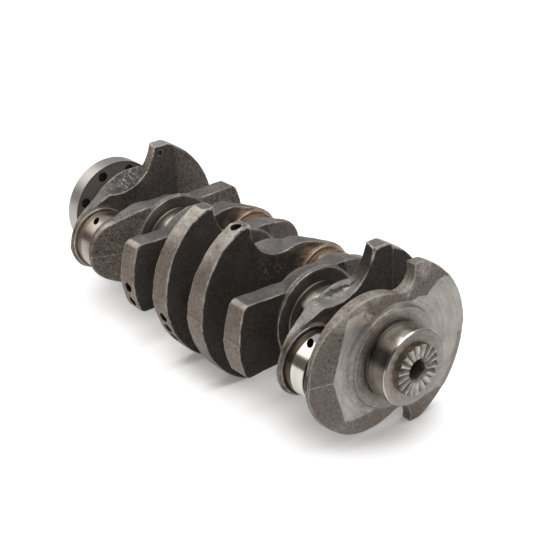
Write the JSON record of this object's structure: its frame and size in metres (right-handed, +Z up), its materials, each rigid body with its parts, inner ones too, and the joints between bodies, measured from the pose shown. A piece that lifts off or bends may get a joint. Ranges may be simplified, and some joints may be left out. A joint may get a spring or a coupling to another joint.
{
  "type": "crankshaft",
  "caption": "Forged in-line crankshaft with ground main journals and crankpins, counterweighted webs, a radially serrated nose and a drilled flywheel flange.",
  "frame": {"origin": "on the main bearing axis, at the middle of the centre main journal", "axes": "+X along the main axis towards the serrated nose, +Y towards the two inner crankpins, +Z up with the forging's parting plane at Z = 0"},
  "size_m": [0.3834, 0.1457, 0.126],
  "materials": {
    "serrated_end": "milled radial teeth, plain and slightly worn",
    "ground_journal": "ground and polished, bright",
    "oil_tinted_pin": "ground and polished under a brown oil film",
    "turned_front_web": "turned face with a dark as-forged rim",
    "forged_web": "as forged and blasted, dark grey and grainy",
    "ground_flange": "ground rim, dark front face"
  },
  "bodies": {
    "root": {"nose_serration": "serrated_end", "main_journal_1": "ground_journal", "main_journal_2": "ground_journal", "main_journal_3": "ground_journal", "main_journal_4": "ground_journal", "main_journal_5": "ground_journal", "crankpin_1": "ground_journal", "crankpin_2": "oil_tinted_pin", "crankpin_3": "oil_tinted_pin", "crankpin_4": "ground_journal", "web_1": "turned_front_web", "web_2": "forged_web", "web_3": "forged_web", "web_4": "forged_web", "web_5": "forged_web", "web_6": "forged_web", "web_7": "forged_web", "web_8": "forged_web", "flywheel_flange": "ground_flange"}
  },
  "joints": []
}
